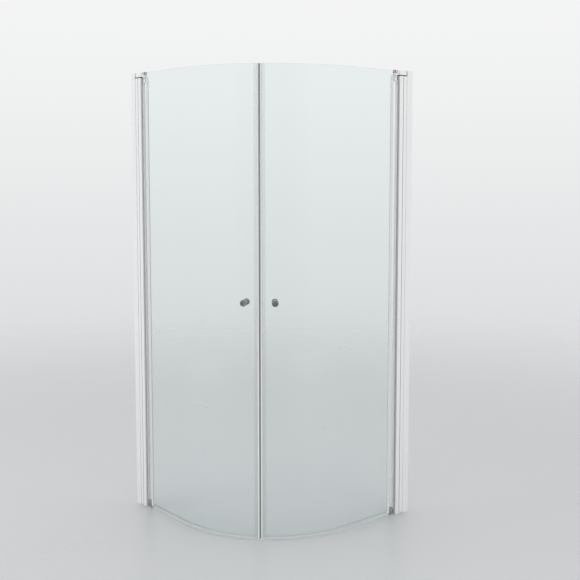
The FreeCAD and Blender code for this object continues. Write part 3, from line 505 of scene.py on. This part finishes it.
def clear(name, gloss, ior, density, colour, tint, lines=None, shade=0.94):
    """gloss: roughness from low to high; density and colour: of the absorption inside; shade: what
    each face lets through to a shadow. With lines it is a drawn seal; without them it is glass,
    ground where its mesh says so."""
    finish = bpy.data.materials.new(name)
    finish.use_nodes = True
    tree = finish.node_tree
    surface = tree.nodes["Principled BSDF"]
    surface.inputs["Metallic"].default_value = 0.0
    surface.inputs["Transmission Weight"].default_value = 1.0
    surface.inputs["IOR"].default_value = ior
    smeared = effect(tree, HANDLING_MARKS, Patches=3.5, Smears=60.0)
    if lines:
        drawn = effect(tree, DIE_LINES, Along_X=lines[0], Along_Y=lines[1], Along_Z=lines[2])
        share, duller = smeared, tuple(0.985 * part for part in tint)
        rough = added(tree, span(tree, drawn, 0.0, 1.0, *gloss), smeared, 0.03)
        relief(tree, surface, drawn, LINE_DEPTH, 0.2)
    else:
        share = put(tree, "ShaderNodeAttribute", attribute_name=GROUND).outputs["Fac"]
        duller = GROUND_TONE
        rough = added(tree, span(tree, smeared, 0.0, 1.0, *gloss), share, GROUND_GLOSS)
    wire(tree, blend_colours(tree, share, tint, duller), surface.inputs["Base Color"])
    wire(tree, rough, surface.inputs["Roughness"])
    aside = put(tree, "ShaderNodeMixShader")
    wire(tree, put(tree, "ShaderNodeLightPath").outputs["Is Shadow Ray"], aside.inputs[0])
    wire(tree, surface.outputs[0], aside.inputs[1])
    through = put(tree, "ShaderNodeBsdfTransparent", {0: (shade, shade, shade, 1.0)})
    wire(tree, through.outputs[0], aside.inputs[2])
    wire(tree, aside.outputs[0], tree.nodes["Material Output"].inputs["Surface"])
    inside = put(tree, "ShaderNodeVolumeAbsorption", {"Color": (*colour, 1.0), "Density": density})
    wire(tree, inside.outputs[0], tree.nodes["Material Output"].inputs["Volume"])
    return finish


# the face tint is partly the glass's slight green and partly painted shade of the enclosure's
# inside
clear_glass = clear("clear toughened glass", (0.0, 0.03), 1.5, 4.0, (0.02, 0.60, 0.55),
                    (0.938, 0.964, 0.966))
clear_seal = clear("clear seal plastic", (0.10, 0.20), 1.4, 30.0, (0.35, 0.45, 0.43),
                   (0.96, 0.975, 0.97), lines=UPRIGHT)
clear_profile = clear("clear drawn profile", (0.02, 0.06), 1.04, 1.0, (0.30, 0.55, 0.52),
                      (0.992, 0.996, 0.996), lines=UPRIGHT, shade=0.99)
clear_sweep = clear("water clear sweep", (0.03, 0.09), 1.25, 8.0, (0.35, 0.50, 0.47),
                    (0.985, 0.99, 0.99), lines=(30.0, 30.0, 900.0))
print("clear", [finish.name for finish in (clear_glass, clear_seal, clear_profile, clear_sweep)])

# %% [markdown]
# How a piece is made by hand, in code. These helpers stand in for the mouse: one makes a piece the
# only selected one and goes into edit mode, and two pick faces or edges by where they are.
# Everything is deselected first each time, because a tool works on all that is selected.

# %% Helpers for modelling
MERGE_DISTANCE = 0.002 * MM


def only(piece):
    """Leave edit mode, deselect everything and select one piece."""
    if bpy.context.object and bpy.context.object.mode != "OBJECT":
        bpy.ops.object.mode_set(mode="OBJECT")
    bpy.ops.object.select_all(action="DESELECT")
    bpy.context.view_layer.objects.active = piece
    piece.select_set(True)


def open_mesh(piece, select="DESELECT"):
    only(piece)
    bpy.ops.object.mode_set(mode="EDIT")
    bpy.ops.mesh.select_all(action=select)


def close_mesh():
    bpy.ops.object.mode_set(mode="OBJECT")


def pick_faces(piece, test):
    """In edit mode, select just the faces whose middle and normal pass a test."""
    bpy.ops.mesh.select_all(action="DESELECT")
    bpy.ops.mesh.select_mode(type="FACE")
    mesh = bmesh.from_edit_mesh(piece.data)
    mesh.normal_update()
    for face in mesh.faces:
        if test(face.calc_center_median(), face.normal):
            face.select_set(True)
    bmesh.update_edit_mesh(piece.data)


def pick_edges(piece, test):
    """In edit mode, select just the edges whose two ends pass a test."""
    bpy.ops.mesh.select_all(action="DESELECT")
    bpy.ops.mesh.select_mode(type="EDGE")
    mesh = bmesh.from_edit_mesh(piece.data)
    for edge in mesh.edges:
        if test(edge.verts[0].co, edge.verts[1].co):
            edge.select_set(True)
    bmesh.update_edit_mesh(piece.data)


def push(x=0.0, y=0.0, z=0.0):
    """Extrude what is selected."""
    bpy.ops.mesh.extrude_region_move(TRANSFORM_OT_translate={"value": (x, y, z)})


def slice_at(point, normal):
    """Cut across all that is selected, without taking anything away."""
    bpy.ops.mesh.bisect(plane_co=point, plane_no=normal)


def face_outwards():
    """In edit mode, merge doubles and turn all faces outwards."""
    bpy.ops.mesh.select_all(action="SELECT")
    bpy.ops.mesh.remove_doubles(threshold=MERGE_DISTANCE)
    bpy.ops.mesh.select_all(action="SELECT")
    bpy.ops.mesh.normals_make_consistent(inside=False)


def tidy_mesh(piece):
    open_mesh(piece)
    face_outwards()
    close_mesh()


def cut_away(piece, cutter):
    """Take a cutter's shape out of a piece, and the cutter out of the scene."""
    only(piece)
    cut = piece.modifiers.new("cut", "BOOLEAN")
    cut.operation = "DIFFERENCE"
    cut.solver = "EXACT"
    cut.object = cutter
    bpy.ops.object.modifier_apply(modifier=cut.name)
    bpy.data.objects.remove(cutter)


def ease_edges(piece, width, segments=2, angle=40.0):
    """Round every edge sharper than an angle, and keep the flat faces flat in the shading."""
    only(piece)
    bpy.ops.object.shade_smooth_by_angle(angle=math.radians(angle - 5.0))
    bevel = piece.modifiers.new("eased edges", "BEVEL")
    bevel.width = width
    bevel.segments = segments
    bevel.limit_method = "ANGLE"
    bevel.angle_limit = math.radians(angle)
    bevel.harden_normals = True
    bevel.use_clamp_overlap = True
    bpy.ops.object.modifier_apply(modifier=bevel.name)


def finished(piece, finish, slot, body, *nodes):
    """Give a piece its finish and the body it rides on, in place of CAD nodes. The slot is not
    used.
    """
    piece.data.materials.clear()
    piece.data.materials.append(finish)
    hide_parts(*nodes)
    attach(piece, body)
    print(f"{piece.name}: {len(piece.data.polygons)} faces, rides on {body}")


HAND_CHANGE = Matrix(((0, -1, 0, 0), (-1, 0, 0, 0), (0, 0, 1, 0), (0, 0, 0, 1)))


def own_copy(source, name):
    """A copy of an object with a mesh of its own."""
    copy = bpy.data.objects.new(name, source.data.copy())
    bpy.context.scene.collection.objects.link(copy)
    return copy


def other_hand(piece, name):
    """The same piece of the right half: mirrored in the plane through the corner and the meeting
    line, and its faces turned outwards again."""
    twin = own_copy(piece, name)
    twin.data.transform(HAND_CHANGE)
    open_mesh(twin, "SELECT")
    bpy.ops.mesh.flip_normals()
    close_mesh()
    return twin


print("the right half is the left one mirrored by", [list(row[:3]) for row in HAND_CHANGE[:3]])

# %% [markdown]
# The glass. A pane is bent in a furnace from one flat sheet: straight beside the hinge, then a
# quarter of a circle shared by the two doors. So it starts as its own cross section, a narrow
# upright rectangle at the hinge edge, is pushed straight to where the bend begins, and is spun
# about the middle of the bend to its closing edge. The hole for the knobs is drilled, and the
# edges get the small ground and polished chamfer that toughened glass always has. A band of the
# pane round the hole is cut off first, so that the drill leaves long thin faces only there.

# %% Where the glass runs
GLASS_THICKNESS = 6 * MM
BEND_RADIUS = 500 * MM
GLASS_END = 11.1 * MM
KNOB_SETBACK = 63 * MM
KNOB_HEIGHT = 1020 * MM
BEND_STEPS = 60
HOLE_RADIUS = 6 * MM
HOLE_MARGIN = 25 * MM                 # from the knobs to the edges of that band
POLISHED_EDGE = 0.6 * MM

glass_low, glass_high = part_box("left_glass")
GLASS_LINE = glass_low.y + GLASS_THICKNESS / 2
BEND_CENTRE = Vector((-(GLASS_LINE + BEND_RADIUS), GLASS_LINE + BEND_RADIUS, 0.0))


def bend_to(distance):
    """The turn from the start of the bend to a distance from the meeting line."""
    return math.radians(45.0) - distance / BEND_RADIUS


def on_bend(rise, distance, height=0.0):
    """A point on the bend: rise is outwards from the middle of the glass."""
    angle = math.radians(-45.0) - distance / BEND_RADIUS
    reach = BEND_RADIUS + rise
    return BEND_CENTRE + Vector((reach * math.cos(angle), reach * math.sin(angle), height))


KNOB_PLACE = on_bend(0.0, KNOB_SETBACK, KNOB_HEIGHT)
KNOB_WAY = (on_bend(1.0, KNOB_SETBACK) - on_bend(0.0, KNOB_SETBACK)).normalized()
print("bend centre", [round(v / MM, 1) for v in BEND_CENTRE],
      "knob", [round(v / MM, 1) for v in KNOB_PLACE])


# %% A section across the glass line, and its run
def cross_section(name, start, rise_low, rise_high, level_low, level_high):
    """An upright rectangle across the glass line, where a piece starts."""
    middle = (start, GLASS_LINE - (rise_low + rise_high) / 2, (level_low + level_high) / 2)
    bpy.ops.object.select_all(action="DESELECT")
    bpy.ops.mesh.primitive_plane_add(size=1.0, location=middle, rotation=(0.0, math.pi / 2, 0.0))
    piece = bpy.context.object
    piece.name = name
    piece.scale = (level_high - level_low, rise_high - rise_low, 1.0)
    bpy.ops.object.transform_apply(location=True, rotation=True, scale=True)
    return piece


def round_the_bend(turn, steps):
    """Spin what is selected on round the bend; the tool takes a turn to the left as negative."""
    bpy.ops.mesh.spin(steps=steps, angle=-turn, center=BEND_CENTRE, axis=(0, 0, 1))


def run_along(start, distance):
    """Push what is selected straight to the start of the bend, then round it."""
    push(x=BEND_CENTRE.x - start)
    round_the_bend(bend_to(distance), BEND_STEPS)


# %% The bent panes
def drill(piece, place, way, radius, length):
    """Cut a round hole along an axis, and leave its walls in the piece's mesh."""
    bpy.ops.object.select_all(action="DESELECT")
    turn = Vector(way).to_track_quat("Z", "Y").to_euler()
    bpy.ops.mesh.primitive_cylinder_add(vertices=64, radius=radius, depth=length, location=place,
                                        rotation=turn)
    cut_away(piece, bpy.context.object)


def rise_of(point):
    """How far outwards from the middle of the glass a point lies."""
    if point.x < BEND_CENTRE.x:
        return GLASS_LINE - point.y
    return math.hypot(point.x - BEND_CENTRE.x, point.y - BEND_CENTRE.y) - BEND_RADIUS


def mark_ground_edges(piece):
    """Write into the mesh which faces lie between the two big faces of the pane."""
    mark = piece.data.attributes.new(GROUND, "FLOAT", "FACE")
    for face in piece.data.polygons:
        between = abs(rise_of(face.center)) < GLASS_THICKNESS / 2 - 0.1 * MM
        mark.data[face.index].value = float(between)


def bent_pane():
    start, low, high = glass_low.x, glass_low.z, glass_high.z
    half = GLASS_THICKNESS / 2
    piece = cross_section("left_bent_pane", start, -half, half, low, high)
    open_mesh(piece, "SELECT")
    for level in (KNOB_HEIGHT - HOLE_MARGIN, KNOB_HEIGHT + HOLE_MARGIN):
        bpy.ops.mesh.select_all(action="SELECT")
        slice_at((start, GLASS_LINE, level), (0, 0, 1))
    bpy.ops.mesh.select_all(action="SELECT")
    run_along(start, GLASS_END)
    close_mesh()
    tidy_mesh(piece)
    drill(piece, KNOB_PLACE, KNOB_WAY, HOLE_RADIUS, 30 * MM)
    ease_edges(piece, POLISHED_EDGE, segments=1, angle=50.0)
    mark_ground_edges(piece)
    return piece


left_pane = bent_pane()
right_pane = other_hand(left_pane, "right_bent_pane")
for side, piece in zip(SIDES, (left_pane, right_pane)):
    finished(piece, clear_glass, "clear_glass", f"{side}_door", f"{side}_glass")

# %% [markdown]
# The sweep is the clear strip clipped under the glass that keeps the water in: a base, two legs
# that grip the faces of the glass, a fin that nearly touches the floor and a shorter drip lip on
# the outside. Its base is sliced into strips across the glass line and run along the bend. Then
# the legs, fin and lip are simply the right strips pulled up or down.

# %% The bottom sweeps
SWEEP_START, LEGS_START = 112 * MM, 125 * MM          # from the wall
SWEEP_END, FIN_END = 24.5 * MM, 3.7 * MM              # from the meeting line
LEG_INSIDE, LEG_OUTSIDE = 3.1 * MM, 4.3 * MM
FIN_HALF = 0.7 * MM
BASE_LOW, BASE_HIGH = 12.7 * MM, 13.9 * MM
LEG_TOP, FIN_FOOT, DRIP_FOOT = 25 * MM, 1.5 * MM, 5 * MM
WALL_X = cad_low.x


def strip(low, high, up):
    """A test for upward or downward faces between two rises."""
    def test(middle, normal):
        return normal.z * up > 0.9 and low - 0.1 * MM < rise_of(middle) < high + 0.1 * MM
    return test


def bottom_sweep():
    start = WALL_X + SWEEP_START
    piece = cross_section("left_sweep", start, -LEG_OUTSIDE, LEG_OUTSIDE, BASE_LOW, BASE_HIGH)
    open_mesh(piece)
    for rise in (-LEG_INSIDE, -FIN_HALF, FIN_HALF, LEG_INSIDE):
        bpy.ops.mesh.select_all(action="SELECT")
        slice_at((start, GLASS_LINE - rise, BASE_LOW), (0, 1, 0))
    bpy.ops.mesh.select_all(action="SELECT")
    push(x=LEGS_START - SWEEP_START)
    run_along(WALL_X + LEGS_START, SWEEP_END)
    face_outwards()
    for low, high in ((LEG_INSIDE, LEG_OUTSIDE), (-LEG_OUTSIDE, -LEG_INSIDE)):
        in_strip = strip(low, high, 1)
        pick_faces(piece, lambda middle, normal: in_strip(middle, normal)
                   and middle.x > WALL_X + LEGS_START and middle.z < BASE_HIGH + MM)
        push(z=LEG_TOP - BASE_HIGH)
    pick_faces(piece, strip(-FIN_HALF, FIN_HALF, -1))
    push(z=FIN_FOOT - BASE_LOW)
    pick_faces(piece, strip(LEG_INSIDE, LEG_OUTSIDE, -1))
    push(z=DRIP_FOOT - BASE_LOW)
    closing = (on_bend(0.0, SWEEP_END) - on_bend(0.0, SWEEP_END + MM)).normalized()
    pick_faces(piece, lambda middle, normal: normal.dot(closing) > 0.9
               and abs(rise_of(middle)) < FIN_HALF and middle.z < BASE_LOW)
    round_the_bend((SWEEP_END - FIN_END) / BEND_RADIUS, 3)
    close_mesh()
    tidy_mesh(piece)
    ease_edges(piece, 0.25 * MM, segments=2)
    return piece


left_sweep = bottom_sweep()
right_sweep = other_hand(left_sweep, "right_sweep")
for side, piece in zip(SIDES, (left_sweep, right_sweep)):
    finished(piece, clear_sweep, "clear_seal", f"{side}_door", f"{side}_bottom_sweep")

# %% [markdown]
# The knobs are turned on a lathe, and so are these. A plane is merged to one point, the point is
# extruded along half of the knob's outline, and the outline is spun once round. The two edges of
# the head are rounded afterwards, as the turner would break them, and the knob is then set on
# the glass at right angles to it. The inner knob is the same, facing inwards, with a hole under
# its neck for the screw that locks it.

# %% The knobs
# Knob sizes are in mm, with heights from the middle of the glass.
HEAD_LOW, HEAD_HIGH, HEAD_RADIUS = 17.1, 32.1, 14.0
HEAD_ROUNDING = 2.1
KNOB_FOOT = 4.1
KNOB_OUTLINE = (
    (18.2, 0.0), (18.2, 3.1), (KNOB_FOOT, 3.1), (KNOB_FOOT, 9.0), (6.6, 9.0), (7.6, 7.0),
    (14.1, 7.0), (HEAD_LOW, 11.4), (HEAD_LOW, HEAD_RADIUS), (HEAD_HIGH, HEAD_RADIUS),
    (HEAD_HIGH, 11.4), (31.3, 9.0), (31.3, 0.0),
)
GRUB_LEVEL, GRUB_RADIUS, GRUB_DEPTH = 7, 2.1, 8       # the level from the foot of the knob


def lathe(name, outline, turns=96):
    """A closed body turned about the Z axis. outline: height and radius of each corner in mm."""
    bpy.ops.object.select_all(action="DESELECT")
    bpy.ops.mesh.primitive_plane_add(size=MM, location=(0.0, 0.0, 0.0))
    piece = bpy.context.object
    piece.name = name
    bpy.ops.object.mode_set(mode="EDIT")
    bpy.ops.mesh.select_mode(type="VERT")
    bpy.ops.mesh.select_all(action="SELECT")
    bpy.ops.mesh.merge(type="CENTER")
    first_height, first_radius = outline[0]
    bpy.ops.transform.translate(value=(first_radius * MM, 0.0, first_height * MM))
    for (height, radius), (next_height, next_radius) in zip(outline, outline[1:]):
        push(x=(next_radius - radius) * MM, z=(next_height - height) * MM)
    bpy.ops.mesh.select_all(action="SELECT")
    bpy.ops.mesh.spin(steps=turns, angle=math.tau, center=(0, 0, 0), axis=(0, 0, 1))
    close_mesh()
    tidy_mesh(piece)
    return piece


def round_ring(piece, height, radius, amount, segments):
    """Round one ring of edges of a turned body, found by its height and radius in mm."""
    def on_ring(point):
        return (abs(point.z - height * MM) < 0.02 * MM
                and abs(math.hypot(point.x, point.y) - radius * MM) < 0.02 * MM)

    open_mesh(piece)
    pick_edges(piece, lambda first, second: on_ring(first) and on_ring(second))
    bpy.ops.mesh.bevel(offset=amount * MM, segments=segments, affect="EDGES")
    close_mesh()


def set_on(piece, place, way):
    """Turn a body from the Z axis to a direction and put its place in its mesh."""
    turn = Vector(way).to_track_quat("Z", "Y").to_matrix().to_4x4()
    piece.data.transform(Matrix.Translation(place) @ turn)


def turned_knob(name):
    piece = lathe(name, KNOB_OUTLINE)
    for height in (HEAD_LOW, HEAD_HIGH):
        round_ring(piece, height, HEAD_RADIUS, HEAD_ROUNDING, 6)
    ease_edges(piece, 0.25 * MM, segments=2, angle=30.0)
    return piece


left_outer = turned_knob("left_outer_knob")
left_inner = own_copy(left_outer, "left_inner_knob")
set_on(left_outer, KNOB_PLACE, KNOB_WAY)
set_on(left_inner, KNOB_PLACE, -KNOB_WAY)
grub_place = KNOB_PLACE - KNOB_WAY * (KNOB_FOOT + GRUB_LEVEL) * MM - Vector((0.0, 0.0, 5 * MM))
drill(left_inner, grub_place, (0, 0, 1), GRUB_RADIUS * MM, GRUB_DEPTH * MM)
right_outer = other_hand(left_outer, "right_outer_knob")
right_inner = other_hand(left_inner, "right_inner_knob")
for side, outer, inner in (("left", left_outer, left_inner), ("right", right_outer, right_inner)):
    finished(outer, dark_plated, "dark_chrome", f"{side}_door", f"{side}_knob_outer")
    finished(inner, dark_plated, "dark_chrome", f"{side}_door", f"{side}_knob_inner")

# %% [markdown]
# The screws that lock the post in its channel show on the inside as a row of small domed heads,
# each with a six-sided socket. One is turned, its socket is cut with a six-sided cutter, and it is
# copied to the three places where the CAD has them.

# %% The clamp screws
SCREW_OUTLINE = ((-8.0, 0.0), (-8.0, 1.7), (0.0, 1.7), (0.0, 3.8), (1.1, 3.8), (2.2, 2.7),
                 (2.2, 0.0))
SOCKET_RADIUS, SOCKET_LENGTH = 1.5 * MM, 2.8 * MM
SCREW_LEVELS = (250 * MM, 1000 * MM, 1750 * MM)
SCREW_REACH = 24 * MM                 # from the wall
CHANNEL_HALF = 16 * MM


def clamp_screw():
    piece = lathe("screw", SCREW_OUTLINE, turns=32)
    bpy.ops.object.select_all(action="DESELECT")
    top_of_head = SCREW_OUTLINE[-1][0] * MM
    bpy.ops.mesh.primitive_cylinder_add(vertices=6, radius=SOCKET_RADIUS, depth=SOCKET_LENGTH,
                                        location=(0.0, 0.0, top_of_head))
    cut_away(piece, bpy.context.object)
    ease_edges(piece, 0.15 * MM)
    return piece


def screw_row():
    first = clamp_screw()
    row = [first] + [own_copy(first, "screw") for _ in SCREW_LEVELS[1:]]
    for screw, level in zip(row, SCREW_LEVELS):
        set_on(screw, Vector((WALL_X + SCREW_REACH, GLASS_LINE + CHANNEL_HALF, level)), (0, 1, 0))
    only(first)
    for screw in row:
        screw.select_set(True)
    bpy.ops.object.join()
    first.name = "left_clamp_screw_row"
    return first


left_screws = screw_row()
right_screws = other_hand(left_screws, "right_clamp_screw_row")
for side, piece in zip(SIDES, (left_screws, right_screws)):
    finished(piece, stainless, "stainless_steel", "root", f"{side}_clamp_screws")

# %% [markdown]
# The profiles, brackets and caps have the right shape in CAD, but every edge there is razor
# sharp, and real metal never is: a die leaves a rounding of a few tenths of a millimetre, and that
# rounding is what catches the light as a thin bright line. So each of them is a copy of its node,
# with the loose triangles merged, flat areas dissolved to single faces, and the edges eased. The
# same goes for the clear profile that holds the pane, the seals and the magnets. Two pieces have
# dark places: the shadow groove along the post, and the outer flanks of the seal beside it.

# %% Eased copies of the drawn and cut pieces
EASED = (                             # node, piece, rounding in mm, finish, slot, body
    ("wall_channel", "channel", 0.30, satin_aluminium, "profile_aluminium", "root"),
    ("hinge_post", "post", 0.30, satin_aluminium, "profile_aluminium", "root"),
    ("top_bracket", "upper_bracket", 0.40, satin_aluminium, "profile_aluminium", "root"),
    ("foot_bracket", "floor_plate", 0.35, brushed_steel, "satin_steel", "root"),
    ("pivot_cap", "eye_cap", 0.35, plated, "chrome", "root"),
    ("channel_cap", "end_cap", 0.40, white_plastic, "white_plastic", "root"),
    ("top_spacer", "spacer", 0.30, black_plastic, "dark_plastic", "root"),
    ("post_seal", "draught_seal", 0.25, seal_rubber, "pale_rubber", "root"),
    ("hinge_stile", "stile", 0.35, clear_profile, "clear_profile", "door"),
    ("top_bush", "upper_bush", 0.30, white_plastic, "white_plastic", "door"),
    ("foot_bush", "lower_bush", 0.30, grey_plastic, "grey_plastic", "door"),
    ("glazing_gasket", "gasket", 0.20, milky_gasket, "clear_seal", "door"),
    ("seal_carrier", "edge_carrier", 0.20, clear_seal, "clear_seal", "door"),
    ("magnet_holder", "magnet_edge", 0.25, bright_edge, "bright_trim", "door"),
    ("magnet_strip", "magnet", 0.12, magnet_grey, "dark_magnet", "door"),
)


def eased_copy(node, name, width):
    """A copy of a CAD node with its triangles merged and its edges rounded."""
    piece = own_copy(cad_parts[node], name)
    open_mesh(piece, "SELECT")
    bpy.ops.mesh.customdata_custom_splitnormals_clear()
    bpy.ops.mesh.remove_doubles(threshold=MERGE_DISTANCE)
    bpy.ops.mesh.select_all(action="SELECT")
    bpy.ops.mesh.dissolve_limited(angle_limit=math.radians(0.4))
    close_mesh()
    ease_edges(piece, width * MM)
    return piece


def mark_painted_shade(piece, side, test):
    """Write into the mesh which faces get painted shade, by their reach from the wall and their
    distance from the glass line in mm."""
    mark = piece.data.attributes.new(PAINTED_SHADE, "FLOAT", "FACE")
    for face in piece.data.polygons:
        along, across = face.center.x, face.center.y
        if side == "right":
            along, across = -face.center.y, -face.center.x
        reach, off = (along - WALL_X) / MM, abs(across - GLASS_LINE) / MM
        mark.data[face.index].value = float(test(reach, off))


# where shade is painted: on the seal beyond this distance, and in the groove of the post
SEAL_FLANK = 7.0                      # in mm from the glass line
GROOVE_FROM, GROOVE_TO = 53.5, 56.5   # from the wall
GROOVE_FLOOR, GROOVE_MOUTH = 12.0, 13.45
PAINTED_SHADE_PLACES = {
    "post_seal": lambda reach, off: off > SEAL_FLANK,
    "hinge_post": lambda reach, off: (GROOVE_FROM < reach < GROOVE_TO
                                      and GROOVE_FLOOR < off < GROOVE_MOUTH),
}

for node, name, width, finish, slot, body in EASED:
    for side in SIDES:
        piece = eased_copy(f"{side}_{node}", f"{side}_{name}", width)
        if node in PAINTED_SHADE_PLACES:
            mark_painted_shade(piece, side, PAINTED_SHADE_PLACES[node])
        finished(piece, finish, slot, body if body == "root" else f"{side}_door",
                 f"{side}_{node}")

# %% [markdown]
# What is left are small turned parts that are right as they are: pins, studs, hidden screws and
# the soft washers. They stay as the CAD has them and only get their finish.

# %% Finishes for the nodes that stay
STAY = (
    ("top_pin", stainless), ("foot_pin", stainless), ("top_screws", stainless),
    ("foot_screws", stainless), ("knob_grub_screw", stainless), ("knob_stud", stainless),
    ("knob_washers", clear_seal),
)

for node, finish in STAY:
    for side in SIDES:
        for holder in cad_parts[f"{side}_{node}"].material_slots:
            holder.material = finish
print(len(STAY) * 2, "nodes keep their shape")
